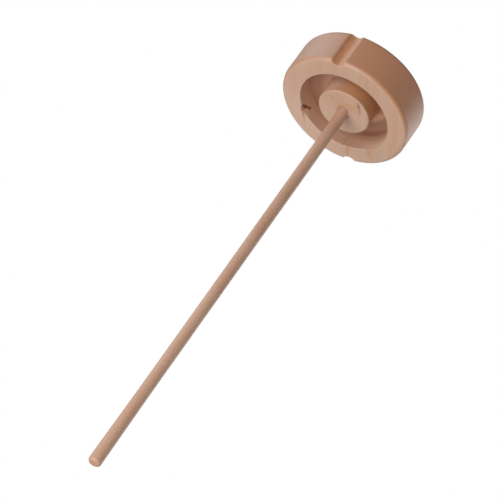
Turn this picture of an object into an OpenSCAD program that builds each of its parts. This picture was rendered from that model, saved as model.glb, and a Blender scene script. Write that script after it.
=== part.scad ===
// A top-whorl drop spindle: a turned wooden whorl, a dowel shaft and a screwed-in wire hook.
// Millimetres. +Z runs up the spin axis. The origin is under the hook's crown, where the yarn bears.

/* [Whorl] */
// Diameter of the whorl
whorl_d = 80; // [70:1:100]
// Thickness of the whorl
whorl_t = 25; // [22:0.5:32]
// Radius of the rounded edge round the underside
under_edge_r = 2.6; // [1:0.1:4]
// Radius of the rounded edge round the top
top_edge_r = 3.4; // [1:0.1:4]

/* [Recess in the underside] */
// Diameter of the recess's outer wall
recess_d = 55.7; // [50:0.1:60]
// Diameter of the boss left standing round the shaft
boss_d = 32.2; // [24:0.1:36]
// Depth of the recess
recess_depth = 16.5; // [10:0.5:18]
// Radius of the coves where the recess's walls meet its floor
cove_r = 3.5; // [1:0.1:5]
// Radius that eases the two edges at the recess's mouth
mouth_r = 0.6; // [0.3:0.1:1]

/* [Yarn notches] */
// Number of notches, spread evenly round the rim
notch_count = 2; // [1:1:4]
// Radius of a notch's half-round floor
notch_r = 4.2; // [3:0.1:5]
// Depth of a notch below the rim
notch_depth = 3.5; // [2:0.1:4]
// Radius of the lip that the yarn leans on; the other lip is left crisp
eased_lip_r = 2; // [1:0.1:4]

/* [Shaft] */
// Diameter of the shaft along most of its length
shaft_d = 6.76; // [6:0.02:8]
// Diameter of the shaft at its lower tip
tip_d = 7.38; // [7:0.02:9]
// Length of the shaft below the whorl
shaft_below = 280; // [150:1:350]
// Length of the shaft above the whorl
shaft_above = 3; // [2:0.5:6]
// Length of the swelling towards the tip
swell_len = 61; // [30:1:100]
// Length of the even stretch at the tip
tip_len = 12; // [8:1:16]
// Radius of the rounded end at the tip
tip_round_r = 1.8; // [0.5:0.1:2.5]
// Radius of the rounded end at the top
top_round_r = 0.8; // [0.3:0.1:1.5]

/* [Hook] */
// Diameter of the hook's wire
wire_d = 2; // [1.5:0.1:2.5]
// Inside diameter of the hook's eye
eye_d = 8; // [6:0.5:10]
// Mean radius of the bend between the shank and the eye
neck_r = 3; // [2:0.5:4]
// How far round the eye the wire's end stands, from level on the open side
hook_end_angle = 32; // [0:1:45]
// Length of straight wire between the collar and the bend
neck_len = 2.4; // [1:0.1:4]
// Diameter of the collar
collar_d = 6; // [5:0.1:6.5]
// Thickness of the collar
collar_t = 1.2; // [0.8:0.1:2]

/* [Hook thread] */
// Diameter over the thread's crests
thread_d = 2.3; // [2:0.1:2.6]
// Diameter at the thread's roots
thread_core_d = 1.6; // [1.2:0.1:1.8]
// Distance between crests
thread_pitch = 1.2; // [0.8:0.1:1.5]
// Number of crests
thread_crests = 8; // [5:1:12]
// Length of the point
point_len = 2; // [1:0.5:3]

/* [Hidden] */
$fn = 96;

WOOD_PALE = [0.74, 0.60, 0.52];
WOOD_SHAFT = [0.69, 0.55, 0.46];
BRASS = [0.80, 0.66, 0.36];

over = 1;            // how far a cutter runs past the face it cuts
swell_steps = 8;     // cones that make up the swelling

whorl_r = whorl_d / 2;
recess_r = recess_d / 2;
boss_r = boss_d / 2;
shaft_r = shaft_d / 2;
tip_r = tip_d / 2;
wire_r = wire_d / 2;
thread_r = thread_d / 2;
thread_core_r = thread_core_d / 2;

// The hook: the eye's centre, then down the neck to the collar and the shaft's top
eye_mean_r = eye_d / 2 + wire_r;
eye_z = -eye_d / 2;
neck_angle = acos(neck_r / (eye_mean_r + neck_r));
neck_z = eye_z - (eye_mean_r + neck_r) * sin(neck_angle);
collar_top_z = neck_z - neck_len;
collar_z = collar_top_z - collar_t;

// Heights down the spindle
shaft_top_z = collar_z;
whorl_top_z = shaft_top_z - shaft_above;
whorl_z = whorl_top_z - whorl_t;
shaft_z = whorl_z - shaft_below;

// Where a notch's cutter and the eased lip's curve are centred, with the notch on the +X axis
notch_centre_r = whorl_r - notch_depth + notch_r;
lip_centre_r = whorl_r - eased_lip_r;
lip_x = (pow(lip_centre_r, 2) + pow(notch_centre_r, 2) - pow(notch_r + eased_lip_r, 2))
    / (2 * notch_centre_r);
lip_y = -sqrt(pow(lip_centre_r, 2) - pow(lip_x, 2));

// Half of the whorl's section, with the axis at x = 0 and the underside at y = 0
module whorl_section() {
    square([whorl_r - top_edge_r, whorl_t]);
    translate([0, under_edge_r])
        square([whorl_r, whorl_t - under_edge_r - top_edge_r]);
    translate([whorl_r - under_edge_r, under_edge_r])
        circle(r = under_edge_r);
    translate([whorl_r - top_edge_r, whorl_t - top_edge_r])
        circle(r = top_edge_r);
}

// The part of the blank outside the curve of the underside's rounded edge
module under_edge_corner() {
    difference() {
        translate([whorl_r - under_edge_r, 0])
            square([under_edge_r, under_edge_r]);
        translate([whorl_r - under_edge_r, under_edge_r])
            circle(r = under_edge_r);
    }
}

// Half of the recess's section: a slot with coved corners
module recess_section() {
    slot_w = recess_r - boss_r;
    translate([boss_r, -over])
        square([slot_w, recess_depth - cove_r + over]);
    translate([boss_r + cove_r, -over])
        square([slot_w - 2 * cove_r, recess_depth + over]);
    for (x = [boss_r + cove_r, recess_r - cove_r])
        translate([x, recess_depth - cove_r])
            circle(r = cove_r);
}

// What eases one edge of the recess's mouth: side is 1 on the outer wall and -1 on the boss
module mouth_easing(r, side) {
    difference() {
        translate([r + (side > 0 ? -over : -mouth_r), -over])
            square([over + mouth_r, over + mouth_r]);
        translate([r + side * mouth_r, mouth_r])
            circle(r = mouth_r);
    }
}

// What is cut from the rim for one notch, with the eased lip on the -Y side
module notch_outline() {
    outer_r = whorl_r + 2 * over;
    translate([notch_centre_r, 0])
        circle(r = notch_r);
    difference() {
        polygon([[lip_x, lip_y], [notch_centre_r, 0], [outer_r, 0],
                 [lip_x, lip_y] * outer_r / lip_centre_r]);
        translate([lip_x, lip_y])
            circle(r = eased_lip_r);
    }
}

module whorl() {
    color(WOOD_PALE)
    translate([0, 0, whorl_z])
    difference() {
        rotate_extrude()
            difference() {
                whorl_section();
                under_edge_corner();
                recess_section();
                mouth_easing(recess_r, 1);
                mouth_easing(boss_r, -1);
            }
        for (i = [0 : notch_count - 1])
            rotate([0, 0, 90 + i * 360 / notch_count])
                translate([0, 0, -over])
                    linear_extrude(height = whorl_t + 2 * over)
                        notch_outline();
        translate([0, 0, -over])
            cylinder(r = shaft_r, h = whorl_t + 2 * over);
    }
}

// The shaft's own section, from the tip at y = 0 up to its top
module shaft_section() {
    length = shaft_below + whorl_t + shaft_above;
    swell_start = tip_round_r + tip_len + swell_len;
    swell = [for (i = [0 : swell_steps - 1])
        let (t = i / swell_steps)
        [tip_r - (tip_r - shaft_r) * (1 - pow(1 - t, 2)), tip_round_r + tip_len + t * swell_len]];
    polygon(concat(
        [[0, 0], [tip_r - tip_round_r, 0], [tip_r - tip_round_r, tip_round_r], [tip_r, tip_round_r]],
        swell,
        [[shaft_r, swell_start], [shaft_r, length - top_round_r],
         [shaft_r - top_round_r, length - top_round_r], [shaft_r - top_round_r, length], [0, length]]));
    intersection() {
        translate([tip_r - tip_round_r, tip_round_r])
            circle(r = tip_round_r);
        square([tip_r, tip_round_r]);
    }
    intersection() {
        translate([shaft_r - top_round_r, length - top_round_r])
            circle(r = top_round_r);
        translate([0, length - top_round_r])
            square([shaft_r, top_round_r]);
    }
}

module shaft() {
    color(WOOD_SHAFT)
    difference() {
        translate([0, 0, shaft_z])
            rotate_extrude()
                shaft_section();
        hook_thread(over);
    }
}

// The hook's threaded end, hanging from the shaft's top, with extra plain core above it
module hook_thread(extra) {
    crests = [for (i = [0 : thread_crests - 1])
        each [[thread_core_r, -(i + 1) * thread_pitch],
              [thread_r, -(i + 1.5) * thread_pitch]]];
    end = -(thread_crests + 1) * thread_pitch;
    translate([0, 0, shaft_top_z])
        rotate_extrude()
            polygon(concat([[0, extra], [thread_core_r, extra]], crests,
                           [[thread_core_r, end], [0, end - point_len]]));
}

// A bend of the wire in the XZ plane, from one angle to another
module wire_bend(mean_r, from, to) {
    rotate([90, 0, 0])
        rotate([0, 0, from])
            rotate_extrude(angle = to - from)
                translate([mean_r, 0])
                    circle(r = wire_r);
}

module yarn_hook() {
    end_angle = 180 + hook_end_angle;
    color(BRASS) {
        hook_thread(0);
        translate([0, 0, shaft_top_z])
            cylinder(r = wire_r, h = neck_z - shaft_top_z);
        translate([neck_r, 0, neck_z])
            wire_bend(neck_r, 180 - neck_angle, 180);
        translate([0, 0, eye_z])
            wire_bend(eye_mean_r, -neck_angle, end_angle);
        translate([eye_mean_r * cos(end_angle), 0, eye_z + eye_mean_r * sin(end_angle)])
            sphere(r = wire_r);
    }
}

module hook_collar() {
    color(BRASS)
    translate([0, 0, collar_z])
    difference() {
        cylinder(r = collar_d / 2, h = collar_t);
        translate([0, 0, -over])
            cylinder(r = wire_r, h = collar_t + 2 * over);
    }
}

whorl();
shaft();
yarn_hook();
hook_collar();
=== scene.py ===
"""A top-whorl drop spindle: detailed meshes, wood and brass, light and the camera, round the CAD frame.

Metres. +Z is the spin axis, and the origin is under the hook's crown. The whorl's notches are on +Y and -Y.
Each mesh follows its CAD node's sizes and replaces it.
"""

import math

import bpy
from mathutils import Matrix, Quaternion, Vector, noise


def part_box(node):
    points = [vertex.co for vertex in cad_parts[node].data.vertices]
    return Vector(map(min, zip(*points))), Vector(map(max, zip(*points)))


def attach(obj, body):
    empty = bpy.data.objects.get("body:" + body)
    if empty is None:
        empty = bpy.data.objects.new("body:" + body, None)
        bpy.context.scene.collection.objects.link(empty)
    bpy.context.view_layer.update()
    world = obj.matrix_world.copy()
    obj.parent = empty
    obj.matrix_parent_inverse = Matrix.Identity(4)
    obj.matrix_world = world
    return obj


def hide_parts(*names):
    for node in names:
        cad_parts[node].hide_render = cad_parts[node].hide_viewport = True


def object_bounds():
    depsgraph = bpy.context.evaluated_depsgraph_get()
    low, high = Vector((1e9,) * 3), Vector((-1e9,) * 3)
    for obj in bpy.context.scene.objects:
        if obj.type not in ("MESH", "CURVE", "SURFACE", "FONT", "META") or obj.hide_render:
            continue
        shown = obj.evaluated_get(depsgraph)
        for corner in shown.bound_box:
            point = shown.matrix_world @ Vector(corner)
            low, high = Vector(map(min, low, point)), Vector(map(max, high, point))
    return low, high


MM = 0.001

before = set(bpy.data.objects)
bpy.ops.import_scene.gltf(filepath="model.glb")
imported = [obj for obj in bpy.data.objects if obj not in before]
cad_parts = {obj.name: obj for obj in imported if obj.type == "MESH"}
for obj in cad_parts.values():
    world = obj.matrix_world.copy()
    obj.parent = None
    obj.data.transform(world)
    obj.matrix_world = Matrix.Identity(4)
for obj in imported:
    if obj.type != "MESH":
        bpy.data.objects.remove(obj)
cad_low, cad_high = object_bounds()

# ------------------------------------------------------------------ sizes

whorl_low, whorl_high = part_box("whorl")
shaft_low, shaft_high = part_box("shaft")
collar_low, collar_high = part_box("hook_collar")

WHORL_R = whorl_high.x
UNDER_Z = whorl_low.z
TOP_Z = whorl_high.z
WHORL_T = TOP_Z - UNDER_Z
UNDER_EDGE_R = 2.6 * MM
TOP_EDGE_R = 3.4 * MM

RECESS_R = 27.85 * MM
BOSS_R = 16.1 * MM
RECESS_DEPTH = 16.5 * MM
COVE_R = 3.5 * MM
MOUTH_R = 0.6 * MM
BOSS_EDGE_R = 0.9 * MM

NOTCH_R = 4.2 * MM
NOTCH_DEPTH = 3.5 * MM
NOTCH_CENTRE_R = WHORL_R - NOTCH_DEPTH + NOTCH_R
EASED_LIP_R = 1.6 * MM
CRISP_LIP_R = 0.8 * MM
NOTCH_EDGE_R = 0.45 * MM
NOTCH_FUZZ = 0.14 * MM
NOTCH_FUZZ_GRAIN = 0.9 * MM

# Where the recess differs from a true turned surface. Angles and spreads are degrees round the axis.
WORN_ANGLE = 42
WORN_SPREAD = 40
WORN_OUT = 0.7 * MM
WORN_DOWN = 5.5 * MM
# Angle, spread and strength of each rippled stretch.
RIPPLE_PLACES = [(97, 13, 1.0), (80, 20, 0.4), (272, 22, 0.4)]
RIPPLES_PER_TURN = 88
RIPPLE_BEATS_PER_TURN = 23
RIPPLE_DEPTH = 0.22 * MM
TORN_ANGLE = 68
TORN_SPREAD = 26
TORN_DEPTH = 0.5 * MM
TORN_GRAIN = 1.7
KNOT_ANGLE = 160
KNOT_SPREAD = 9
KNOT_DEPTH = 0.7 * MM

SHAFT_R = 3.38 * MM
TIP_R = 3.69 * MM
TIP_LEN = 12.0 * MM
SWELL_LEN = 61.0 * MM
TIP_ROUND_R = 1.8 * MM
TIP_CENTRE_R = 0.3 * MM
TOP_ROUND_R = 0.8 * MM
BORE_GAP = 0.04 * MM
BORE_CHAMFER = 0.3 * MM
BORE_OPEN_ANGLE = 225
BORE_OPEN_SPREAD = 80
BORE_OPEN_GAP = 0.16 * MM
GLUE_TUCK = 0.02 * MM
GLUE_SINK = 0.03 * MM

WIRE_R = 1.0 * MM
EYE_R = 5.0 * MM
EYE_Z = -4.0 * MM
NECK_R = 3.0 * MM
HOOK_END_ANGLE = 212.0
THREAD_R = 1.15 * MM
THREAD_CORE_R = 0.8 * MM
THREAD_PITCH = 1.2 * MM
THREAD_LEN = 10.8 * MM
POINT_LEN = 2.0 * MM
PILOT_R = 1.17 * MM
PILOT_DEPTH = 13.0 * MM
PILOT_POINT = 0.3 * MM
COLLAR_ROLL_R = 0.28 * MM
COLLAR_DOME_R = 1.35 * MM

# How finely the meshes are divided.
RIM_STEPS = 104
SHAFT_COLUMNS = 72
WIRE_COLUMNS = 28
THREAD_ROWS = 190
COLLAR_COLUMNS = 64
GLUE_COLUMNS = 90


# ------------------------------------------------------------------ mesh helpers


def mesh_piece(name, points, faces, sharp_angle=None):
    """A smooth-shaded object from points in metres, with creases past sharp_angle degrees."""
    mesh = bpy.data.meshes.new(name)
    mesh.from_pydata(points, [], faces)
    mesh.validate()
    mesh.shade_smooth()
    if sharp_angle:
        mesh.set_sharp_from_angle(angle=math.radians(sharp_angle))
    mesh.update()
    piece = bpy.data.objects.new(name, mesh)
    bpy.context.scene.collection.objects.link(piece)
    return piece


def ring_faces(rows, columns, close_rows=False):
    """Quads between rows of points that each go once round."""
    faces = []
    for row in range(rows if close_rows else rows - 1):
        here = row * columns
        above = (row + 1) % rows * columns
        for i in range(columns):
            j = (i + 1) % columns
            faces.append((here + i, here + j, above + j, above + i))
    return faces


def capped_rings(rows, columns):
    """Quads between open rows, and one flat face over each end."""
    last = (rows - 1) * columns
    first_cap = tuple(reversed(range(columns)))
    last_cap = tuple(last + i for i in range(columns))
    return ring_faces(rows, columns) + [first_cap, last_cap]


def circle(radius, z, columns):
    """Points once round the Z axis."""
    turns = [2 * math.pi * i / columns for i in range(columns)]
    return [(radius * math.cos(turn), radius * math.sin(turn), z) for turn in turns]


def steps(count):
    """Even steps from 0 to 1, both included."""
    return [i / (count - 1) for i in range(count)]


def mix(a, b, t):
    return a + (b - a) * t


def smooth(low, high, value):
    t = min(max((value - low) / (high - low), 0.0), 1.0)
    return t * t * (3 - 2 * t)


def near_angle(angle, centre, half_width):
    """1 at an angle round the axis, falling softly to 0 at half_width from it, all in degrees."""
    off = abs((angle - centre + 180) % 360 - 180)
    return 1 - smooth(0, half_width, off)


def arc(centre_x, centre_y, radius, start, end, count):
    """Points on an arc between two angles in degrees, both ends included."""
    turns = [math.radians(mix(start, end, t)) for t in steps(count)]
    return [(centre_x + radius * math.cos(a), centre_y + radius * math.sin(a)) for a in turns]


def along(points, count):
    """The same polyline with count points at even distances."""
    lengths = [0.0]
    for (x1, y1), (x2, y2) in zip(points, points[1:]):
        lengths.append(lengths[-1] + math.hypot(x2 - x1, y2 - y1))
    out = []
    segment = 0
    for t in steps(count):
        target = t * lengths[-1]
        while segment < len(points) - 2 and lengths[segment + 1] < target:
            segment += 1
        span = max(lengths[segment + 1] - lengths[segment], 1e-12)
        f = min((target - lengths[segment]) / span, 1.0)
        (x1, y1), (x2, y2) = points[segment], points[segment + 1]
        out.append((mix(x1, x2, f), mix(y1, y2, f)))
    return out


# ------------------------------------------------------------------ the whorl


def lip_centre(lip_r, side):
    """Centre of the curve that eases a notch's lip, for a notch on +X; side is 1 or -1."""
    ring = WHORL_R - lip_r
    x = (ring**2 + NOTCH_CENTRE_R**2 - (NOTCH_R + lip_r) ** 2) / (2 * NOTCH_CENTRE_R)
    return x, side * math.sqrt(ring**2 - x**2)


def half_outline():
    """The whorl's outline round one notch on +X, from -90 to 90 degrees, as (angle, radius) pairs."""
    points = []
    ex, ey = lip_centre(EASED_LIP_R, -1)
    cx, cy = lip_centre(CRISP_LIP_R, 1)
    eased_rim = math.degrees(math.atan2(ey, ex))
    crisp_rim = math.degrees(math.atan2(cy, cx))
    eased_notch = math.degrees(math.atan2(ey, ex - NOTCH_CENTRE_R))
    crisp_notch = math.degrees(math.atan2(cy, cx - NOTCH_CENTRE_R)) - 360
    points += arc(0, 0, WHORL_R, -90, eased_rim, RIM_STEPS)[:-1]
    points += arc(ex, ey, EASED_LIP_R, eased_rim, eased_notch + 180, 14)[:-1]
    points += arc(NOTCH_CENTRE_R, 0, NOTCH_R, eased_notch, crisp_notch, 26)[:-1]
    points += arc(cx, cy, CRISP_LIP_R, crisp_notch + 180, crisp_rim, 8)[:-1]
    points += arc(0, 0, WHORL_R, crisp_rim, 90, RIM_STEPS + 2)[:-1]
    return [(math.degrees(math.atan2(y, x)), math.hypot(x, y)) for x, y in points]


def rounded_edge(edge_r, wall_r):
    """From the face to the wall, round an edge whose disc is WHORL_R but whose wall here is at wall_r.

    Points are (radius, height above the face).
    """
    flat_r = WHORL_R - edge_r
    lean = (wall_r - NOTCH_EDGE_R - flat_r) / (edge_r - NOTCH_EDGE_R)
    turn = math.degrees(math.asin(min(max(lean, 0.0), 1.0)))
    points = []
    if turn > 0:
        points += arc(flat_r, edge_r, edge_r, -90, turn - 90, 24)[:-1]
        small = edge_r - NOTCH_EDGE_R
        cx = flat_r + small * math.sin(math.radians(turn))
        cy = edge_r - small * math.cos(math.radians(turn))
    else:
        cx, cy = wall_r - NOTCH_EDGE_R, NOTCH_EDGE_R
    points += arc(cx, cy, NOTCH_EDGE_R, turn - 90, 0, 12)
    return along(points, 13)


def recess_mouth(angle):
    """How far the recess's edge is eased, outwards and down the wall: eased soft by wear on one side only.
    """
    worn_and_lit = near_angle(angle, WORN_ANGLE, WORN_SPREAD)
    return MOUTH_R + WORN_OUT * worn_and_lit, MOUTH_R + WORN_DOWN * worn_and_lit


def chatter(angle, height):
    """Ripples that the tool left in the recess's wall across end grain, and a torn edge beside them."""
    where = sum(strength * near_angle(angle, centre, spread) for centre, spread, strength in RIPPLE_PLACES)
    depth = 1 - smooth(4 * MM, 9 * MM, height)
    beat = 0.75 + 0.25 * math.sin(math.radians(angle * RIPPLE_BEATS_PER_TURN))
    ripple = math.sin(math.radians(angle * RIPPLES_PER_TURN)) * beat
    torn = near_angle(angle, TORN_ANGLE, TORN_SPREAD) * (1 - smooth(0.4 * MM, 1.8 * MM, height))
    torn *= noise.noise(Vector((angle / TORN_GRAIN, 0, 0)))
    return RIPPLE_DEPTH * where * depth * ripple + TORN_DEPTH * torn


def knot_dent(angle, height):
    """How far the recess's wall has broken out at the knot."""
    low_down = 1 - smooth(0.5 * MM, 5 * MM, height)
    return KNOT_DEPTH * near_angle(angle, KNOT_ANGLE, KNOT_SPREAD) * low_down


def bore_r(angle):
    """The bore is a little open on one side of the shaft."""
    return SHAFT_R + BORE_GAP + BORE_OPEN_GAP * near_angle(angle, BORE_OPEN_ANGLE, BORE_OPEN_SPREAD)


def uneven(point, angle):
    """A profile point, pushed outwards by the ripples and the knot if it is on the recess's wall."""
    x, y = point
    if y >= RECESS_DEPTH:
        return point
    near_wall = smooth(RECESS_R - 1.0 * MM, RECESS_R - 0.2 * MM, x)
    near_wall *= 1 - smooth(RECESS_R, RECESS_R + 2.5 * MM, x)
    return x + near_wall * (chatter(angle, y) + knot_dent(angle, y)), y


def whorl_profile(angle, wall_r):
    """One radial cut through the whorl, as a closed run of (radius, height above the underside)."""
    bore = bore_r(angle)
    mouth_out, mouth_down = recess_mouth(angle)
    floor_y = RECESS_DEPTH
    inner_cove_x = BOSS_R + COVE_R
    outer_cove_x = RECESS_R - COVE_R
    points = [(bore + BORE_CHAMFER, 0.0)]
    points += [(mix(bore + BORE_CHAMFER, BOSS_R - BOSS_EDGE_R, t), 0.0) for t in steps(9)[1:-1]]
    points += arc(BOSS_R - BOSS_EDGE_R, BOSS_EDGE_R, BOSS_EDGE_R, -90, 0, 8)
    points += [(BOSS_R, mix(BOSS_EDGE_R, floor_y - COVE_R, t)) for t in steps(9)[1:-1]]
    points += arc(inner_cove_x, floor_y - COVE_R, COVE_R, 180, 90, 9)
    points += [(mix(inner_cove_x, outer_cove_x, t), floor_y) for t in steps(5)[1:-1]]
    points += arc(outer_cove_x, floor_y - COVE_R, COVE_R, 90, 0, 9)
    points += [(RECESS_R, mix(floor_y - COVE_R, mouth_down, t)) for t in steps(16)[1:-1]]
    for x, y in arc(0, 0, 1, 180, 270, 12):
        points.append((RECESS_R + mouth_out * (1 + x), mouth_down * (1 + y)))
    under_edge = rounded_edge(UNDER_EDGE_R, wall_r)
    ring_in, ring_out = points[-1][0], under_edge[0][0]
    points += [(mix(ring_in, ring_out, t), 0.0) for t in steps(8)[1:-1]]
    points += under_edge
    top_edge = [(x, WHORL_T - y) for x, y in reversed(rounded_edge(TOP_EDGE_R, wall_r))]
    wall_low, wall_high = points[-1][1], top_edge[0][1]
    points += [(wall_r, mix(wall_low, wall_high, t)) for t in steps(17)[1:-1]]
    points += top_edge
    points += [(mix(top_edge[-1][0], bore + BORE_CHAMFER, t), WHORL_T) for t in steps(16)[1:]]
    points += [(bore, mix(WHORL_T - BORE_CHAMFER, BORE_CHAMFER, t)) for t in steps(9)]
    return [uneven(point, angle) for point in points]


def placed(point, angle, wall_r):
    """A profile point in space, pushed in a little on a notch's wall, where the cutter left it fuzzy."""
    r, h = point
    turn = math.radians(angle)
    place = Vector((r * math.cos(turn), r * math.sin(turn), UNDER_Z + h))
    in_notch = smooth(0.15 * MM, 1.0 * MM, WHORL_R - wall_r)
    on_wall = r > wall_r - 0.01 * MM and 0.3 * MM < h < WHORL_T - 0.3 * MM
    if in_notch > 0 and on_wall:
        across = Vector((place.x, place.y, place.z * 0.25)) / NOTCH_FUZZ_GRAIN
        depth = (0.5 + 0.5 * noise.noise(across)) * NOTCH_FUZZ * in_notch
        place -= place.xy.normalized().to_3d() * depth
    return place


def make_whorl():
    """The turned blank: the half outline twice, with one radial cut at each of its points."""
    outline = half_outline()
    columns = [(angle - 90, r) for angle, r in outline] + [(angle + 90, r) for angle, r in outline]
    profiles = [whorl_profile(angle, r) for angle, r in columns]
    points = []
    for row in range(len(profiles[0])):
        for (angle, wall_r), profile in zip(columns, profiles):
            points.append(placed(profile[row], angle, wall_r))
    faces = ring_faces(len(profiles[0]), len(columns), close_rows=True)
    return mesh_piece("whorl_turned", points, faces, 60)


# ------------------------------------------------------------------ turned pieces


def turned(name, profile, columns, sharp_angle=None):
    """A solid of revolution about Z from (radius, z) pairs that start and end on the axis."""
    points = []
    for r, z in profile[1:-1]:
        points += circle(r, z, columns)
    faces = ring_faces(len(profile) - 2, columns)
    last = (len(profile) - 3) * columns
    low, high = len(points), len(points) + 1
    points += [(0, 0, profile[0][1]), (0, 0, profile[-1][1])]
    for i in range(columns):
        j = (i + 1) % columns
        faces += [(low, j, i), (high, last + i, last + j)]
    return mesh_piece(name, points, faces, sharp_angle)


def make_shaft():
    """The dowel, a little thicker towards its tip, with the hook's pilot hole in its top end."""
    tip, top = shaft_low.z, shaft_high.z
    swell_start = tip + TIP_ROUND_R + TIP_LEN
    profile = [(0, tip)]
    profile += [(mix(TIP_CENTRE_R, TIP_R - TIP_ROUND_R, t), tip) for t in steps(4)[:-1]]
    profile += arc(TIP_R - TIP_ROUND_R, tip + TIP_ROUND_R, TIP_ROUND_R, -90, 0, 12)
    profile += [(TIP_R, mix(tip + TIP_ROUND_R, swell_start, t)) for t in steps(5)[1:]]
    for t in steps(20)[1:]:
        profile.append((TIP_R - (TIP_R - SHAFT_R) * (1 - (1 - t) ** 2), swell_start + t * SWELL_LEN))
    profile += [(SHAFT_R, mix(swell_start + SWELL_LEN, top - TOP_ROUND_R, t)) for t in steps(60)[1:]]
    profile += arc(SHAFT_R - TOP_ROUND_R, top - TOP_ROUND_R, TOP_ROUND_R, 0, 90, 8)[1:]
    profile += [(PILOT_R, top), (PILOT_R, top - PILOT_DEPTH), (0, top - PILOT_DEPTH - PILOT_POINT)]
    return turned("shaft_dowel", profile, SHAFT_COLUMNS, 50)


def make_collar():
    """A stamped washer with a domed top and a rolled rim."""
    low, high = collar_low.z, collar_high.z
    roll_centre_r = (collar_high.x - collar_low.x) / 2 - COLLAR_ROLL_R
    profile = [(WIRE_R, low), (roll_centre_r, low)]
    profile += arc(roll_centre_r, low + COLLAR_ROLL_R, COLLAR_ROLL_R, -90, 60, 9)[1:]
    start_r, start_z = profile[-1]
    for t in steps(12)[1:]:
        rise = math.sin(math.radians(90 * t))
        profile.append((mix(start_r, COLLAR_DOME_R, t), mix(start_z, high, rise)))
    # The hole's upper edge is eased round the wire.
    profile += [(WIRE_R + 0.1 * MM, high - 0.04 * MM), (WIRE_R, mix(low, high, 0.7))]
    points = []
    for r, z in profile:
        points += circle(r, z, COLLAR_COLUMNS)
    faces = ring_faces(len(profile), COLLAR_COLUMNS, close_rows=True)
    return mesh_piece("hook_collar_domed", points, faces, 50)


def hook_route():
    """The wire's centreline up from the thread's point, as (x, z) pairs at about even steps."""
    neck_turn = math.degrees(math.acos(NECK_R / (EYE_R + NECK_R)))
    neck_z = EYE_Z - (EYE_R + NECK_R) * math.sin(math.radians(neck_turn))
    thread_low = shaft_high.z - THREAD_LEN - POINT_LEN
    straight = [(0.0, mix(thread_low, neck_z, t)) for t in steps(THREAD_ROWS)]
    neck = arc(NECK_R, neck_z, NECK_R, 180, 180 - neck_turn, 22)
    eye = arc(0, EYE_Z, EYE_R, -neck_turn, HOOK_END_ANGLE, 110)
    return straight + neck[1:] + eye[1:]


def thread_radius(z, part_turn):
    """The wire's radius in the thread: a helical ridge that starts at a point and runs out at the top."""
    thread_low = shaft_high.z - THREAD_LEN - POINT_LEN
    thread_high = shaft_high.z
    ridge = ((z - thread_low) / THREAD_PITCH - part_turn) % 1.0
    tooth = max(0.0, 1 - abs(ridge - 0.5) / 0.32)
    r = mix(THREAD_CORE_R, THREAD_R, tooth)
    r = mix(r, WIRE_R, smooth(thread_high - 1.2 * MM, thread_high - 0.2 * MM, z))
    return r * (0.06 + 0.94 * smooth(thread_low, thread_low + POINT_LEN, z))


def wire_ring(centre, run, radii):
    """Points round the wire, whose centreline lies in the XZ plane and runs along run here."""
    across = Vector((0, 1, 0))
    side = across.cross(run)
    turns = [2 * math.pi * i / len(radii) for i in range(len(radii))]
    return [centre + (across * math.sin(a) + side * math.cos(a)) * r for a, r in zip(turns, radii)]


def make_hook():
    """One wire: a pointed thread, a straight neck and a round eye that ends in a rounded tip."""
    route = [Vector((x, 0, z)) for x, z in hook_route()]
    points = []
    for k, centre in enumerate(route):
        run = (route[min(k + 1, len(route) - 1)] - route[max(k - 1, 0)]).normalized()
        radii = [WIRE_R] * WIRE_COLUMNS
        if centre.z < shaft_high.z and k < THREAD_ROWS:
            radii = [thread_radius(centre.z, i / WIRE_COLUMNS) for i in range(WIRE_COLUMNS)]
        points += wire_ring(centre, run, radii)
    ahead = (route[-1] - route[-2]).normalized()
    end_lifts = (20, 40, 58, 74)
    for lift in end_lifts:
        reach, width = math.sin(math.radians(lift)), math.cos(math.radians(lift))
        points += wire_ring(route[-1] + ahead * reach * WIRE_R, ahead, [width * WIRE_R] * WIRE_COLUMNS)
    faces = capped_rings(len(route) + len(end_lifts), WIRE_COLUMNS)
    return mesh_piece("yarn_hook_wire", points, faces, 55)


def make_glue():
    """The thin, uneven bead of dried glue where the shaft enters the boss."""
    rows = 6
    inner_r = SHAFT_R - GLUE_TUCK
    top_z = UNDER_Z + GLUE_SINK
    points = []
    for row in range(rows):
        turn_in = math.radians(90 * row / (rows - 1))
        out = (1 - math.sin(turn_in)) ** 0.9
        down = 0.8 * (1 - math.cos(turn_in)) ** 0.9
        for i in range(GLUE_COLUMNS):
            angle = 360 * i / GLUE_COLUMNS
            x, y = math.cos(math.radians(angle)), math.sin(math.radians(angle))
            size = 0.10 + 0.75 * near_angle(angle, 3, 22) + 0.25 * near_angle(angle, 70, 40)
            size += 0.06 * noise.noise(Vector((x * 3, y * 3, 1)))
            r = inner_r + size * MM * out
            points.append((r * x, r * y, top_z - size * MM * down))
    points += circle(inner_r, top_z, GLUE_COLUMNS)
    return mesh_piece("glue_bead", points, ring_faces(rows + 1, GLUE_COLUMNS, close_rows=True))


# ------------------------------------------------------------------ materials

# Degrees from +Y to the whorl's fibres, round the axis.
GRAIN_ASKEW = 6.7


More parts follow.
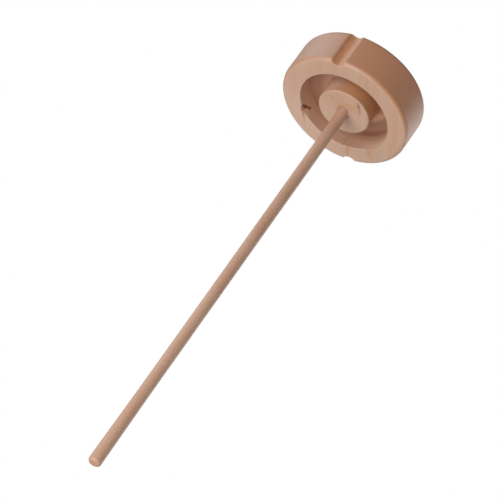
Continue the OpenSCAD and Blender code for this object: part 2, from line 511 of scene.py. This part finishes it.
class Shader:
    """Short names for building a material's nodes."""

    def __init__(self, name):
        self.material = bpy.data.materials.new(name)
        self.material.use_nodes = True
        self.tree = self.material.node_tree
        self.tree.nodes.clear()
        self.bsdf = self.tree.nodes.new("ShaderNodeBsdfPrincipled")
        output = self.tree.nodes.new("ShaderNodeOutputMaterial")
        self.tree.links.new(self.bsdf.outputs["BSDF"], output.inputs["Surface"])
        texture = self.tree.nodes.new("ShaderNodeTexCoord")
        self.object_place = texture.outputs["Object"]
        self.object_normal = texture.outputs["Normal"]

    def put(self, socket, value):
        if isinstance(value, bpy.types.NodeSocket):
            self.tree.links.new(value, socket)
        else:
            socket.default_value = value

    def math(self, operation, a, b=None, c=None, clamp=False):
        node = self.tree.nodes.new("ShaderNodeMath")
        node.operation = operation
        node.use_clamp = clamp
        for socket, value in zip(node.inputs, (a, b, c)):
            if value is not None:
                self.put(socket, value)
        return node.outputs[0]

    def vector(self, operation, a, b=None):
        node = self.tree.nodes.new("ShaderNodeVectorMath")
        node.operation = operation
        self.put(node.inputs[0], a)
        if b is not None:
            self.put(node.inputs["Scale"] if operation == "SCALE" else node.inputs[1], b)
        scalar = operation in ("LENGTH", "DOT_PRODUCT", "DISTANCE")
        return node.outputs["Value" if scalar else "Vector"]

    def split(self, vector):
        node = self.tree.nodes.new("ShaderNodeSeparateXYZ")
        self.put(node.inputs[0], vector)
        return node.outputs

    def join(self, x, y, z):
        node = self.tree.nodes.new("ShaderNodeCombineXYZ")
        for socket, value in zip(node.inputs, (x, y, z)):
            self.put(socket, value)
        return node.outputs[0]

    def rotate(self, vector, degrees):
        node = self.tree.nodes.new("ShaderNodeVectorRotate")
        node.rotation_type = "EULER_XYZ"
        self.put(node.inputs["Vector"], vector)
        node.inputs["Rotation"].default_value = [math.radians(d) for d in degrees]
        return node.outputs[0]

    def noise(self, place, scale, detail=2.0, roughness=0.5):
        node = self.tree.nodes.new("ShaderNodeTexNoise")
        self.put(node.inputs["Vector"], place)
        node.inputs["Scale"].default_value = scale
        node.inputs["Detail"].default_value = detail
        node.inputs["Roughness"].default_value = roughness
        return node.outputs["Fac"]

    def noise_vector(self, place, scale, detail=2.0):
        node = self.tree.nodes.new("ShaderNodeTexNoise")
        self.put(node.inputs["Vector"], place)
        node.inputs["Scale"].default_value = scale
        node.inputs["Detail"].default_value = detail
        return node.outputs["Color"]

    def white(self, value):
        node = self.tree.nodes.new("ShaderNodeTexWhiteNoise")
        node.noise_dimensions = "1D"
        self.put(node.inputs["W"], value)
        return node.outputs["Value"]

    def fade(self, value, low, high, to_low=0.0, to_high=1.0):
        """A smooth step from to_low to to_high as value goes from low to high."""
        node = self.tree.nodes.new("ShaderNodeMapRange")
        node.interpolation_type = "SMOOTHSTEP"
        self.put(node.inputs["Value"], value)
        limits = {"From Min": low, "From Max": high, "To Min": to_low, "To Max": to_high}
        for name, number in limits.items():
            node.inputs[name].default_value = number
        return node.outputs["Result"]

    def times(self, first, *others):
        """The product of all the values."""
        for other in others:
            first = self.math("MULTIPLY", first, other)
        return first

    def blend(self, amount, a, b):
        node = self.tree.nodes.new("ShaderNodeMix")
        node.data_type = "RGBA"
        self.put(node.inputs[0], amount)
        self.put(node.inputs[6], a)
        self.put(node.inputs[7], b)
        return node.outputs[2]

    def tint(self, colour, tone, *amounts):
        """The colour, blended towards a tone by the product of the amounts."""
        return self.blend(self.times(*amounts), colour, tone)

    def stroke(self, place, start, end, start_width, end_width, soft=0.5):
        """1 within a tapered stroke between two points, falling softly to 0 outside its half-width."""
        run = Vector(end) - Vector(start)
        from_start = self.vector("SUBTRACT", place, start)
        reach = self.vector("DOT_PRODUCT", from_start, tuple(run))
        part = self.math("DIVIDE", reach, run.length_squared, clamp=True)
        nearest = self.vector("SCALE", tuple(run), part)
        off = self.vector("LENGTH", self.vector("SUBTRACT", from_start, nearest))
        width = self.math("MULTIPLY_ADD", part, end_width - start_width, start_width)
        return self.fade(self.math("DIVIDE", off, width), 1 - soft, 1 + soft, 1.0, 0.0)

    def facing(self, around, angle, half_width):
        """1 towards an angle round the axis, falling softly to 0 at half_width degrees from it."""
        way = (math.cos(math.radians(angle)), math.sin(math.radians(angle)), 0.0)
        return self.fade(self.vector("DOT_PRODUCT", around, way), math.cos(math.radians(half_width)), 1.0)

    def bump(self, height, distance):
        node = self.tree.nodes.new("ShaderNodeBump")
        self.put(node.inputs["Height"], height)
        node.inputs["Distance"].default_value = distance
        return node.outputs["Normal"]


def rgb(red, green, blue):
    return (red, green, blue, 1.0)


def wood(s, grain, pith, ring_gap, pale, dark, warm):
    """Growth rings, fibres and flecks, in millimetres. In grain coordinates Z runs along the fibres.

    Returns the colour, and the fibre and fleck values, each 0 to 1.
    """
    drift = s.noise_vector(s.vector("MULTIPLY", grain, (0.02, 0.02, 0.006)), 1.0)
    drift = s.vector("SUBTRACT", drift, (0.5, 0.5, 0.5))
    bent = s.vector("ADD", grain, s.vector("MULTIPLY", drift, (7.0, 7.0, 0.0)))
    bent_parts = s.split(bent)
    flat = s.join(bent_parts[0], bent_parts[1], 0.0)
    count = s.math("DIVIDE", s.vector("DISTANCE", flat, pith), ring_gap)
    uneven_growth = s.times(s.noise(s.vector("MULTIPLY", grain, (0.05, 0.05, 0.01)), 1.0), 3.0)
    count = s.math("ADD", count, uneven_growth)
    part = s.math("FRACT", count)
    which = s.white(s.math("FLOOR", count))
    late_wood = s.times(s.fade(part, 0.35, 0.92), s.fade(part, 0.93, 1.0, 1.0, 0.0))
    ring = s.times(late_wood, s.fade(which, 0.0, 1.0, 0.25, 1.0))
    fibre = s.noise(s.vector("MULTIPLY", grain, (3.2, 3.2, 0.09)), 1.0, 3.0, 0.6)
    streak = s.noise(s.vector("MULTIPLY", grain, (0.55, 0.55, 0.012)), 1.0, 3.0, 0.55)
    cloud = s.noise(s.vector("MULTIPLY", grain, (0.05, 0.05, 0.03)), 1.0, 2.0)
    fleck = s.fade(s.noise(s.vector("MULTIPLY", grain, (2.4, 2.4, 0.33)), 1.0, 1.0), 0.66, 0.76)
    colour = s.blend(s.fade(cloud, 0.35, 0.68), pale, warm)
    colour = s.tint(colour, dark, ring, 0.16)
    colour = s.tint(colour, dark, s.fade(streak, 0.45, 0.75, 0.0, 0.18))
    colour = s.tint(colour, dark, s.fade(fibre, 0.35, 0.8, 0.0, 0.12))
    colour = s.tint(colour, dark, fleck, 0.14)
    return colour, fibre, fleck


class WhorlPlaces:
    """Where a point of the whorl is, as shader values: millimetres, with heights above the underside."""

    def __init__(self, s):
        millimetres = s.vector("SCALE", s.object_place, 1000.0)
        self.place = s.vector("SUBTRACT", millimetres, (0.0, 0.0, UNDER_Z / MM))
        # In grain coordinates the fibres, which run along Y and a little askew, lie along Z.
        self.grain = s.rotate(s.rotate(self.place, (0, 0, -GRAIN_ASKEW)), (90, 0, 0))
        parts = s.split(self.place)
        self.x, self.y, self.height = parts[0], parts[1], parts[2]
        flat = s.join(self.x, self.y, 0.0)
        self.around = s.vector("NORMALIZE", flat)
        self.radial = s.vector("LENGTH", flat)
        normal = s.split(s.rotate(s.object_normal, (0, 0, -GRAIN_ASKEW)))
        self.end_grain = s.math("POWER", s.math("ABSOLUTE", normal[1]), 3.0)
        self.side = s.fade(s.math("ABSOLUTE", normal[2]), 0.25, 0.95, 1.0, 0.0)
        self.on_rim = s.times(self.side, s.fade(self.radial, 31.0, 34.0))
        within = s.times(s.fade(self.height, 0.2, 1.6), s.fade(self.radial, 29.0, 31.0, 1.0, 0.0))
        self.inside = s.times(within, s.fade(self.height, 20.0, 22.0, 1.0, 0.0))
        self.wall = s.times(self.inside, self.side)
        self.near_boss = s.times(self.inside, s.fade(self.radial, 19.0, 23.0, 1.0, 0.0))


def tint_across(s, at, colour):
    """The flat grain is a little paler towards one side."""
    across = s.vector("DOT_PRODUCT", at.place, (-0.6, 0.8, 0.0))
    colour = s.tint(colour, rgb(0.60, 0.405, 0.30), s.fade(across, -6.0, 34.0, 0.0, 0.55))
    return s.tint(colour, rgb(0.44, 0.26, 0.18), s.fade(across, -38.0, -8.0, 0.22, 0.0))


def tint_rim(s, at, colour):
    """The rim took up the most oil. Towards -125 degrees it carries a pale painted sheen, and towards -22
    degrees it is lighter and more orange.
    """
    colour = s.tint(colour, rgb(0.43, 0.175, 0.08), at.on_rim, 0.78)
    # Painted sheen: the rim towards -125 degrees tinted pale.
    colour = s.tint(colour, rgb(0.53, 0.36, 0.29), at.on_rim, s.facing(at.around, -125, 50), 0.6)
    return s.tint(colour, rgb(0.56, 0.255, 0.14), at.on_rim, s.facing(at.around, -22, 80), 0.4)


def tint_recess(s, at, colour):
    """The recess's colour, much of it painted light and shade: painted light by its mouth's eased side, on
    its shaded left wall and on the floor by the boss, and painted shade at the bottom of the recess, where
    its walls meet the floor.
    """
    colour = s.tint(colour, rgb(0.58, 0.36, 0.26), at.inside, 0.45)
    # Painted light: the left wall, which faces away from the key light, made lighter and more orange.
    colour = s.tint(colour, rgb(0.68, 0.40, 0.25), at.wall, s.facing(at.around, 182, 70), 0.8)
    colour = s.tint(colour, rgb(0.50, 0.27, 0.18), at.wall, at.end_grain, 0.35)
    # Painted light: the wall by the mouth's eased side made pale, where the key light falls.
    worn_and_lit = s.times(s.fade(at.height, 2.0, 9.0, 1.0, 0.0), s.facing(at.around, 38, 48))
    colour = s.tint(colour, rgb(0.66, 0.45, 0.33), at.wall, worn_and_lit, 0.9)
    # Painted shade: darker at the bottom of the recess, most towards its outer corner.
    corner_shade = s.times(s.fade(at.height, 9.0, 15.0), s.fade(at.radial, 17.5, 26.5, 0.25, 0.75))
    colour = s.tint(colour, rgb(0.36, 0.175, 0.11), at.inside, corner_shade)
    # Painted light: the left wall further from the mouth made paler.
    high_wall = s.times(at.wall, s.fade(at.height, 7.0, 10.0), s.fade(at.radial, 26.0, 27.5))
    colour = s.tint(colour, rgb(0.66, 0.40, 0.27), high_wall, s.facing(at.around, -170, 40), 0.6)
    # Painted shadow: a dark band on the wall near 72 degrees, towards the floor.
    wall_foot_shadow = s.times(at.wall, s.fade(at.height, 10.0, 13.0))
    colour = s.tint(colour, rgb(0.29, 0.13, 0.08), wall_foot_shadow, s.facing(at.around, 72, 34), 0.4)
    boss_wall = s.times(at.inside, s.fade(at.radial, 19.0, 22.0, 1.0, 0.0))
    colour = s.tint(colour, rgb(0.55, 0.235, 0.09), boss_wall, s.facing(at.around, -40, 84), 0.88)
    colour = s.tint(colour, rgb(0.66, 0.43, 0.33), at.near_boss, s.facing(at.around, -140, 46), 0.6)
    # Painted light: the floor and wall by the boss near 60 degrees made bright orange.
    colour = s.tint(colour, rgb(0.92, 0.56, 0.34), at.near_boss, s.facing(at.around, 60, 34), 0.8)
    # Painted shade: the floor near -168 degrees made darker and redder.
    floor_wood = s.times(at.inside, s.math("SUBTRACT", 1.0, at.side))
    colour = s.tint(colour, rgb(0.48, 0.24, 0.15), floor_wood, s.facing(at.around, -168, 50), 0.5)
    return s.tint(colour, rgb(0.40, 0.20, 0.11), at.end_grain, 0.10)


def lathe_lines(s, at):
    """Fine lines, 0 to 1, round the rim and the recess's walls."""
    line_place = s.join(0.0, s.times(at.radial, 0.6), at.height)
    return s.times(s.fade(s.noise(line_place, 1.0, 2.0, 0.7), 0.36, 0.66), at.side)


def tint_notches(s, at, colour):
    """The two notches are bare, rough cuts, with painted shade on the wall beside the eased lip and painted
    light on the eased lip.

    Returns the colour, how far the wood is bare, and the roughness of the cut, each 0 to 1.
    """
    flip = s.math("SIGN", at.y)
    notch_x = s.times(at.x, flip)
    notch_place = s.join(notch_x, s.math("ABSOLUTE", at.y), 0.0)
    from_cutter = s.vector("DISTANCE", notch_place, (0.0, NOTCH_CENTRE_R / MM, 0.0))
    bare = s.fade(from_cutter, 4.3, 4.6, 1.0, 0.0)
    # Painted shade, over the bare cut's own colour: the wall beside the eased lip, which faces away from
    # the light, made dark.
    notch_shade = s.fade(s.vector("DISTANCE", notch_place, (2.2, 40.0, 0.0)), 3.3, 5.0, 1.0, 0.0)
    # Painted light: the eased lip beside the notch tinted lighter.
    lip_light = s.times(s.fade(from_cutter, 4.4, 4.7), s.fade(from_cutter, 5.4, 6.6, 1.0, 0.0))
    colour = s.tint(colour, rgb(0.47, 0.27, 0.18), lip_light, s.times(at.side, s.fade(notch_x, 2.0, 3.0)), 0.3)
    fuzz = s.noise(s.vector("MULTIPLY", at.place, (1.6, 1.6, 0.5)), 1.0, 4.0, 0.7)
    colour = s.tint(colour, rgb(0.62, 0.39, 0.28), bare, 0.7)
    speckle = s.fade(fuzz, 0.35, 0.65, 0.55, 1.0)
    colour = s.tint(colour, rgb(0.47, 0.195, 0.068), notch_shade, bare, speckle)
    return colour, bare, fuzz


def tint_edge(s, at, colour):
    """The rounded edge under the rim shows warmer wood in two places."""
    from_edge = s.join(s.math("SUBTRACT", at.radial, 39.6), 0.0, s.math("SUBTRACT", at.height, 1.5))
    edge = s.fade(s.vector("LENGTH", from_edge), 0.6, 2.0, 1.0, 0.0)
    warm_edge = s.math("MAXIMUM", s.facing(at.around, -30, 42), s.times(s.facing(at.around, -150, 56), 0.6))
    return s.tint(colour, rgb(0.42, 0.19, 0.08), edge, warm_edge, 0.85)


BROWN_MARK = rgb(0.20, 0.06, 0.025)
UMBER_MARK = rgb(0.27, 0.10, 0.05)
ORANGE_MARK = rgb(0.50, 0.25, 0.13)

# Natural marks, in millimetres: start, end, half-width at each, strength and colour.
WALL_MARKS = [
    # The knot, and a dot on the boss's wall.
    ((-27.5, 5.6, 0.5), (-26.6, 8.4, 2.9), 0.85, 1.05, 0.84, BROWN_MARK),
    ((-26.6, 8.4, 2.9), (-25.3, 11.8, 5.9), 1.05, 0.50, 0.84, BROWN_MARK),
    ((-26.9, 7.6, 1.9), (-26.5, 9.3, 0.9), 0.7, 0.4, 0.70, BROWN_MARK),
    ((-25.5, 11.0, 5.0), (-25.5, 11.3, 3.4), 0.8, 0.4, 0.60, BROWN_MARK),
    ((16.1, -0.5, 7.2), (16.1, -0.3, 7.4), 0.6, 0.6, 0.85, BROWN_MARK),
]
FACE_MARKS = [
    # The knot's streak across the face.
    ((-27.6, 5.4, 0.0), (-27.8, 8.2, 0.0), 0.45, 0.65, 0.82, UMBER_MARK),
    ((-27.8, 8.2, 0.0), (-27.1, 12.6, 0.0), 0.65, 0.60, 0.72, UMBER_MARK),
    ((-27.1, 12.6, 0.0), (-26.9, 18.0, 0.0), 0.60, 0.40, 0.38, UMBER_MARK),
    # A fleck, a smudge beside the shaft and a faint line, all on the boss.
    ((10.35, -10.9, 0.0), (10.5, -7.6, 0.0), 0.50, 1.05, 0.50, UMBER_MARK),
    ((10.5, -8.4, 0.0), (10.8, -2.6, 0.0), 1.20, 0.55, 0.40, UMBER_MARK),
    ((-1.5, -5.4, 0.0), (6.4, -5.6, 0.0), 2.2, 2.5, 0.50, ORANGE_MARK),
    ((-7.8, -11.8, 0.0), (-6.1, -9.2, 0.0), 0.40, 0.40, 0.16, UMBER_MARK),
    ((-6.1, -9.2, 0.0), (-4.7, -4.6, 0.0), 0.40, 0.30, 0.16, UMBER_MARK),
    # Orange streaks between the recess and the rim.
    ((0.4, 28.4, 0.0), (-0.9, 35.0, 0.0), 1.5, 1.0, 0.52, ORANGE_MARK),
    ((13.0, 25.0, 0.0), (15.4, 32.0, 0.0), 1.2, 1.4, 0.45, ORANGE_MARK),
    ((17.6, 21.8, 0.0), (14.0, 28.4, 0.0), 1.0, 1.2, 0.50, ORANGE_MARK),
    ((24.1, -31.2, 0.0), (21.1, -26.1, 0.0), 0.6, 0.5, 0.50, ORANGE_MARK),
]


def add_marks(s, at, colour, pale):
    """The knot, flecks and streaks, with a clear spot left inside the knot."""
    wander = s.vector("SUBTRACT", s.noise_vector(at.place, 0.9, 2.0), (0.5, 0.5, 0.5))
    marked = s.vector("ADD", at.place, s.vector("SCALE", wander, 0.7))
    below_mouth = s.fade(at.height, 0.05, 0.45)
    for start, end, start_width, end_width, strength, tone in WALL_MARKS:
        inked = s.stroke(marked, start, end, start_width, end_width)
        colour = s.tint(colour, tone, inked, below_mouth, strength)
    for start, end, start_width, end_width, strength, tone in FACE_MARKS:
        inked = s.stroke(marked, start, end, start_width, end_width)
        colour = s.tint(colour, tone, inked, strength)
    clear = s.stroke(marked, (-26.3, 9.9, 0.9), (-26.0, 10.8, 0.7), 0.8, 0.7)
    return s.tint(colour, pale, clear, 0.85)


def whorl_wood():
    """One wood through the whole whorl, with its oil, its bare cuts and its marks."""
    s = Shader("whorl_wood")
    at = WhorlPlaces(s)
    pale = rgb(0.53, 0.345, 0.245)
    dark = rgb(0.36, 0.18, 0.105)
    warm = rgb(0.52, 0.32, 0.22)
    colour, fibre, fleck = wood(s, at.grain, (-38.0, 150.0, 0.0), 2.6, pale, dark, warm)
    colour = tint_across(s, at, colour)
    colour = tint_rim(s, at, colour)
    colour = tint_recess(s, at, colour)
    lines = lathe_lines(s, at)
    colour = s.tint(colour, dark, lines, 0.30)
    colour, bare, fuzz = tint_notches(s, at, colour)
    colour = tint_edge(s, at, colour)
    s.put(s.bsdf.inputs["Base Color"], add_marks(s, at, colour, pale))
    roughness = s.fade(fibre, 0.2, 0.8, 0.38, 0.50)
    roughness = s.math("MULTIPLY_ADD", bare, 0.35, roughness)
    s.put(s.bsdf.inputs["Roughness"], s.math("MULTIPLY_ADD", at.end_grain, 0.06, roughness))
    relief = s.times(fibre, 0.35)
    relief = s.math("SUBTRACT", relief, s.times(fleck, 0.3))
    relief = s.math("SUBTRACT", relief, s.times(lines, 0.6))
    relief = s.math("MULTIPLY_ADD", s.times(fuzz, bare), 5.0, relief)
    s.put(s.bsdf.inputs["Normal"], s.bump(relief, 0.03 * MM))
    return s.material


def shaft_wood():
    """A darker dowel, with fine pores along the fibres."""
    s = Shader("shaft_wood")
    place = s.vector("SCALE", s.object_place, 1000.0)
    grain = s.rotate(place, (0.5, 0.9, 0))
    pale = rgb(0.52, 0.315, 0.22)
    dark = rgb(0.31, 0.15, 0.09)
    warm = rgb(0.48, 0.275, 0.18)
    colour, fibre, _ = wood(s, grain, (46.0, -22.0, 0.0), 1.25, pale, dark, warm)
    end_grain = s.math("POWER", s.math("ABSOLUTE", s.split(s.object_normal)[2]), 3.0)
    colour = s.tint(colour, rgb(0.36, 0.18, 0.10), end_grain, 0.35)
    pore_place = s.vector("MULTIPLY", grain, (4.0, 4.0, 0.22))
    pore = s.fade(s.noise(pore_place, 1.0, 1.0), 0.66, 0.76)
    colour = s.tint(colour, rgb(0.24, 0.11, 0.06), pore, 0.12)
    # The lower end is a little paler.
    low_end = s.fade(s.split(place)[2], -215.0, -90.0, 0.35, 0.0)
    colour = s.tint(colour, rgb(0.60, 0.375, 0.265), low_end)
    s.put(s.bsdf.inputs["Base Color"], colour)
    s.put(s.bsdf.inputs["Roughness"], s.fade(fibre, 0.2, 0.8, 0.36, 0.48))
    s.bsdf.inputs["Specular IOR Level"].default_value = 0.3
    relief = s.math("SUBTRACT", s.times(fibre, 0.5), s.times(pore, 0.6))
    s.put(s.bsdf.inputs["Normal"], s.bump(relief, 0.006 * MM))
    return s.material


def brass(name, tarnish):
    """Brass with dull patches, as strong as tarnish, and a little grime."""
    s = Shader(name)
    place = s.vector("SCALE", s.object_place, 1000.0)
    cloud = s.noise(place, 0.35, 4.0, 0.6)
    grime = s.noise(place, 1.7, 5.0, 0.7)
    bright, dull, dirty = rgb(0.83, 0.60, 0.27), rgb(0.62, 0.38, 0.15), rgb(0.42, 0.25, 0.10)
    colour = s.tint(bright, dull, s.fade(cloud, 0.3, 0.7, 0.0, tarnish))
    colour = s.tint(colour, dirty, s.fade(grime, 0.55, 0.8, 0.0, 0.3))
    s.put(s.bsdf.inputs["Base Color"], colour)
    s.bsdf.inputs["Metallic"].default_value = 1.0
    s.put(s.bsdf.inputs["Roughness"], s.fade(grime, 0.3, 0.8, 0.20, 0.42))
    scratch = s.noise(s.vector("MULTIPLY", place, (9.0, 9.0, 1.2)), 1.0, 3.0, 0.6)
    s.put(s.bsdf.inputs["Normal"], s.bump(scratch, 0.008 * MM))
    return s.material


def glue():
    """Pale dried glue."""
    s = Shader("dried_glue")
    place = s.vector("SCALE", s.object_place, 1000.0)
    cloud = s.noise(place, 1.5, 3.0)
    colour = s.tint(rgb(0.68, 0.52, 0.41), rgb(0.60, 0.43, 0.33), s.fade(cloud, 0.3, 0.7))
    s.put(s.bsdf.inputs["Base Color"], colour)
    s.put(s.bsdf.inputs["Roughness"], s.fade(cloud, 0.3, 0.7, 0.25, 0.4))
    s.put(s.bsdf.inputs["Normal"], s.bump(cloud, 0.05 * MM))
    return s.material


def plain(name, grey, roughness, glow):
    """A matt grey paint that glows a little."""
    s = Shader(name)
    s.bsdf.inputs["Emission Color"].default_value = rgb(1, 1, 1)
    s.bsdf.inputs["Emission Strength"].default_value = glow
    grain = s.fade(s.noise(s.object_place, 3.0, 3.0), 0.3, 0.7)
    darker = grey * 0.98
    s.put(s.bsdf.inputs["Base Color"], s.tint(rgb(grey, grey, grey), rgb(darker, darker, darker), grain))
    s.bsdf.inputs["Roughness"].default_value = roughness
    return s.material


# ------------------------------------------------------------------ camera, light and floor

CAMERA_AZIMUTH = 28.5
CAMERA_ELEVATION = -34.15
CAMERA_ROLL = 35.38
CAMERA_DISTANCE = 1.6477
CAMERA_AIM = Vector((1.97, 0.79, -157.7)) * MM
LENS_MM = 216.45

# Which way the bright side of the surroundings is, as the camera sees it: right, up and towards the camera.
TABLE_WAY = (0.1, -0.6, -0.79)
TABLE_GLOW = 0.44
ROOM_GLOW = 0.31
# Cosines of the angles to TABLE_WAY between which the room's glow turns into the table's.
ROOM_ENDS = -0.35
TABLE_STARTS = 0.45

FLOOR_R = 12.0
FLOOR_DROP = 2.3
FLOOR_SIDES = 96
FLOOR_GREY = 0.86
FLOOR_GLOW = 0.45


def camera_back():
    """Unit vector from what the camera looks at towards the camera."""
    a, e = math.radians(CAMERA_AZIMUTH), math.radians(CAMERA_ELEVATION)
    return Vector((math.sin(a) * math.cos(e), -math.cos(a) * math.cos(e), math.sin(e)))


def camera_turn():
    back = camera_back()
    upright = (-back).to_track_quat("-Z", "Y")
    return Quaternion(back, math.radians(CAMERA_ROLL)) @ upright


def add_camera():
    data = bpy.data.cameras.new("camera")
    data.lens = LENS_MM
    data.sensor_width = 36.0
    data.clip_start = 0.05
    data.clip_end = 100.0
    camera = bpy.data.objects.new("camera", data)
    bpy.context.scene.collection.objects.link(camera)
    camera.rotation_mode = "QUATERNION"
    camera.rotation_quaternion = camera_turn()
    camera.location = CAMERA_AIM + camera_back() * CAMERA_DISTANCE
    bpy.context.scene.camera = camera


def add_softbox(name, right, up, towards, distance, size, watts, colour=(1, 1, 1), shine=True):
    """A square soft light, whose direction is given as the main camera sees it.

    Right, up and towards the camera are positive. Without shine it isn't seen in reflections.
    """
    data = bpy.data.lights.new(name, "AREA")
    data.shape = "SQUARE"
    data.size = size
    data.energy = watts
    data.color = colour
    light = bpy.data.objects.new(name, data)
    light.visible_glossy = shine
    bpy.context.scene.collection.objects.link(light)
    middle = (cad_low + cad_high) / 2
    out = camera_turn() @ Vector((right, up, towards)).normalized()
    light.location = middle + out * distance
    light.rotation_mode = "QUATERNION"
    light.rotation_quaternion = out.to_track_quat("Z", "Y")


def add_world():
    """White where the camera looks past everything. As light, it is a white table under a dimmer room."""
    world = bpy.data.worlds.new("studio")
    bpy.context.scene.world = world
    world.use_nodes = True
    tree = world.node_tree
    tree.nodes.clear()
    way = tree.nodes.new("ShaderNodeTexCoord")
    towards_table = tree.nodes.new("ShaderNodeVectorMath")
    towards_table.operation = "DOT_PRODUCT"
    towards_table.inputs[1].default_value = camera_turn() @ Vector(TABLE_WAY).normalized()
    glow = tree.nodes.new("ShaderNodeMapRange")
    glow.interpolation_type = "SMOOTHSTEP"
    glow.inputs["From Min"].default_value = ROOM_ENDS
    glow.inputs["From Max"].default_value = TABLE_STARTS
    glow.inputs["To Min"].default_value = ROOM_GLOW
    glow.inputs["To Max"].default_value = TABLE_GLOW
    lighting = tree.nodes.new("ShaderNodeBackground")
    seen = tree.nodes.new("ShaderNodeBackground")
    seen.inputs["Color"].default_value = rgb(1, 1, 1)
    seen.inputs["Strength"].default_value = 1.0
    path = tree.nodes.new("ShaderNodeLightPath")
    both = tree.nodes.new("ShaderNodeMixShader")
    output = tree.nodes.new("ShaderNodeOutputWorld")
    tree.links.new(way.outputs["Generated"], towards_table.inputs[0])
    tree.links.new(towards_table.outputs["Value"], glow.inputs["Value"])
    tree.links.new(glow.outputs["Result"], lighting.inputs["Strength"])
    tree.links.new(path.outputs["Is Camera Ray"], both.inputs[0])
    tree.links.new(lighting.outputs[0], both.inputs[1])
    tree.links.new(seen.outputs[0], both.inputs[2])
    tree.links.new(both.outputs[0], output.inputs["Surface"])


def add_floor():
    """A wide pale floor, far enough down that the spindle hangs clear and can be seen from below.

    It glows a little, to look as white as the backdrop, and gives the spindle no light.
    """
    points = circle(FLOOR_R, cad_low.z - FLOOR_DROP, FLOOR_SIDES)
    floor = mesh_piece("floor", points, [tuple(range(FLOOR_SIDES))])
    floor.data.materials.append(plain("floor_paint", FLOOR_GREY, 0.9, FLOOR_GLOW))
    floor.visible_diffuse = False
    floor.visible_glossy = False


# ------------------------------------------------------------------ put it together

add_camera()
add_world()
# Name, direction (right, up, towards the camera), distance, size and watts.
add_softbox("key", -0.56, 0.08, 0.82, 1.3, 1.1, 16.0)
add_softbox("front_fill", 0.0, 0.0, 1.0, 1.9, 1.4, 7.2)
add_softbox("low_fill", -0.48, -0.67, 0.56, 1.5, 1.4, 3.8)
add_softbox("window", -0.5, 0.8, -0.35, 1.3, 0.9, 4.5, (0.88, 0.95, 1.0))
add_softbox("table_shine", 0.65, -0.3, -0.7, 1.3, 1.0, 4.8)
add_softbox("tip_bounce", 0.43, -0.9, -0.15, 1.0, 0.7, 1.25)
add_softbox("back_fill", 0.15, 0.4, -0.9, 1.7, 1.4, 14.0, shine=False)
add_floor()

PIECES = [
    (make_whorl(), "whorl", "whorl_wood", whorl_wood()),
    (make_shaft(), "shaft", "shaft_wood", shaft_wood()),
    (make_hook(), "yarn_hook", "hook_brass", brass("hook_brass_wire", 0.5)),
    (make_collar(), "hook_collar", "collar_brass", brass("collar_brass_plate", 0.7)),
]
for piece, node, slot_name, material in PIECES:
    piece.data.materials.append(material)
    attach(piece, "root")
    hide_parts(node)

bead = make_glue()
bead.data.materials.append(glue())
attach(bead, "root")

bpy.context.scene.view_settings.view_transform = "Standard"
bpy.context.scene.view_settings.look = "None"
